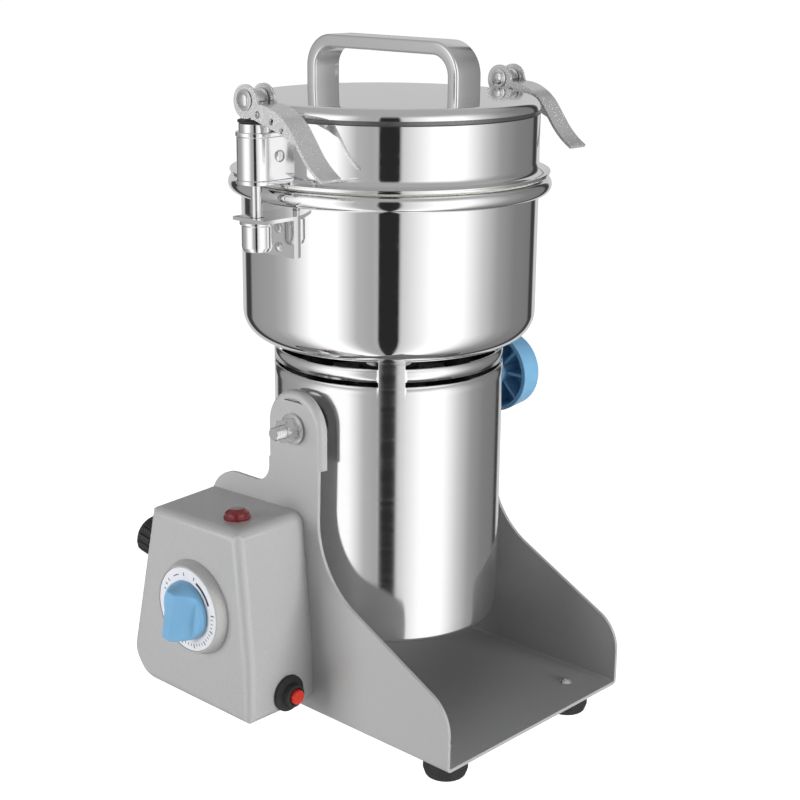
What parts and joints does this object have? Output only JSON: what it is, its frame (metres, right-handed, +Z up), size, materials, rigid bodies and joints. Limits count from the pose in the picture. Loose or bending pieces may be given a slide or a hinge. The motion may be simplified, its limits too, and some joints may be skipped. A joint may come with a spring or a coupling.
{
  "type": "electric grain mill",
  "caption": "Tilting electric grain mill: polished lidded bowl on a motor barrel, hung in a bent steel cradle with a side control box, timer and cam latches.",
  "frame": {"origin": "middle of the overall box in X and Y, on the table", "axes": "+Z up along the bowl axis, +X along the tilt axis towards the lock knob, -Y towards the open front"},
  "size_m": [0.2655, 0.2174, 0.403],
  "materials": {
    "cradle_paint": "fine silver paint, satin",
    "foot_rubber": "moulded, matt",
    "fastener_steel": "turned, bright",
    "bush_plastic": "moulded, matt",
    "box_paint": "fine silver paint, satin",
    "dial_print": "printed, gloss",
    "ring_paint": "silver, satin",
    "blue_plastic": "moulded, semi-gloss",
    "movement_plastic": "moulded",
    "black_plastic": "moulded, matt",
    "lamp_red": "clear red, gloss",
    "button_red": "moulded, gloss",
    "polished_steel": "mirror polish",
    "barrel_steel": "polished tube, faint round grain",
    "cast_aluminium": "cast, machined seats",
    "core_steel": "laminated sheet",
    "copper": "varnished wire and copper bars",
    "brush_resin": "resin board",
    "fan_plastic": "moulded",
    "seal_rubber": "food-grade sealing ring",
    "shaft_rubber": "lip seal"
  },
  "bodies": {
    "stand": {"cradle": "cradle_paint", "feet": "foot_rubber", "foot_screws": "fastener_steel", "pivot_bushes": "bush_plastic", "control_cover": "box_paint", "cover_screws": "fastener_steel", "timer_body": "movement_plastic", "timer_ring": "ring_paint", "timer_dial": "dial_print", "lamp_body": "black_plastic", "lamp_lens": "lamp_red", "reset_breaker": "black_plastic", "reset_collar": "black_plastic", "switch_frame": "black_plastic", "gland_body": "black_plastic", "gland_nut": "black_plastic"},
    "mill": {"motor_barrel": "barrel_steel", "barrel_bottom": "fan_plastic", "bottom_screws": "fastener_steel", "pivot_bosses": "barrel_steel", "pivot_studs": "fastener_steel", "pivot_nut": "fastener_steel", "stator_core": "core_steel", "field_windings": "copper", "lower_shield": "cast_aluminium", "upper_shield": "cast_aluminium", "bearings": "fastener_steel", "brush_gear": "brush_resin", "bowl": "polished_steel", "bowl_screws": "fastener_steel", "shaft_seal": "shaft_rubber", "catch_brackets": "polished_steel", "catch_sockets": "polished_steel", "catch_rivets": "fastener_steel"},
    "rotor": {"rotor_shaft": "fastener_steel", "armature": "copper", "commutator": "copper", "cooling_fan": "fan_plastic", "blade_hub": "polished_steel", "blades": "polished_steel", "blade_nut": "fastener_steel"},
    "lid": {"lid_shell": "polished_steel", "lid_pan": "polished_steel", "lid_seal": "seal_rubber", "lid_handle": "polished_steel", "handle_screws": "fastener_steel", "latch_straps": "polished_steel", "latch_tubes": "polished_steel", "latch_washers": "black_plastic", "strap_rivets": "fastener_steel"},
    "left_rod": {"rod_left": "fastener_steel"},
    "right_rod": {"rod_right": "fastener_steel"},
    "left_lever": {"lever_left": "polished_steel"},
    "right_lever": {"lever_right": "polished_steel"},
    "lock": {"lock_knob": "blue_plastic"},
    "timer": {"timer_knob": "blue_plastic"},
    "rocker": {"switch_rocker": "black_plastic"},
    "reset": {"reset_button": "button_red"}
  },
  "joints": [
    {"name": "mill_tilt", "type": "hinge", "parent": "stand", "child": "mill", "pos_m": [0.01625, 0.0145, 0.188], "axis": [1, 0, 0], "range_deg": [0, 110]},
    {"name": "rotor_spin", "type": "hinge", "parent": "mill", "child": "rotor", "pos_m": [0.01625, 0.0145, 0.15], "axis": [0, 0, 1], "continuous": true},
    {"name": "lid_lift", "type": "slide", "parent": "mill", "child": "lid", "axis": [0, 0, 1], "range_m": [0, 0.12]},
    {"name": "left_rod_drop", "type": "slide", "parent": "lid", "child": "left_rod", "axis": [0, 0, -1], "range_m": [0, 0.00135]},
    {"name": "left_lever_flip", "type": "hinge", "parent": "left_rod", "child": "left_lever", "pos_m": [-0.08735, 0.0145, 0.3746], "axis": [-1, 0, 0], "range_deg": [0, 120]},
    {"name": "right_rod_drop", "type": "slide", "parent": "lid", "child": "right_rod", "axis": [0, 0, -1], "range_m": [0, 0.00135]},
    {"name": "right_lever_flip", "type": "hinge", "parent": "right_rod", "child": "right_lever", "pos_m": [0.11985, 0.0145, 0.3746], "axis": [-1, 0, 0], "range_deg": [0, 120]},
    {"name": "lock_turn", "type": "hinge", "parent": "mill", "child": "lock", "pos_m": [0.11525, 0.0145, 0.188], "axis": [1, 0, 0], "range_deg": [0, 720]},
    {"name": "timer_turn", "type": "hinge", "parent": "stand", "child": "timer", "pos_m": [-0.11175, 0.045, 0.085], "axis": [-1, 0, 0], "range_deg": [0, 300]},
    {"name": "rocker_tip", "type": "hinge", "parent": "stand", "child": "rocker", "pos_m": [-0.09675, 0.1019, 0.067], "axis": [0.9956, 0.0941, 0], "range_deg": [-22, 0]},
    {"name": "reset_push", "type": "slide", "parent": "stand", "child": "reset", "axis": [0, 1, 0], "range_m": [0, 0.002], "stiffness_N_per_m": 300, "springref_m": -0.002}
  ],
  "couplings": [
    {"joint": "left_lever_flip", "follows": "left_rod_drop", "rad_per_m": 1552},
    {"joint": "right_lever_flip", "follows": "right_rod_drop", "rad_per_m": 1552}
  ]
}
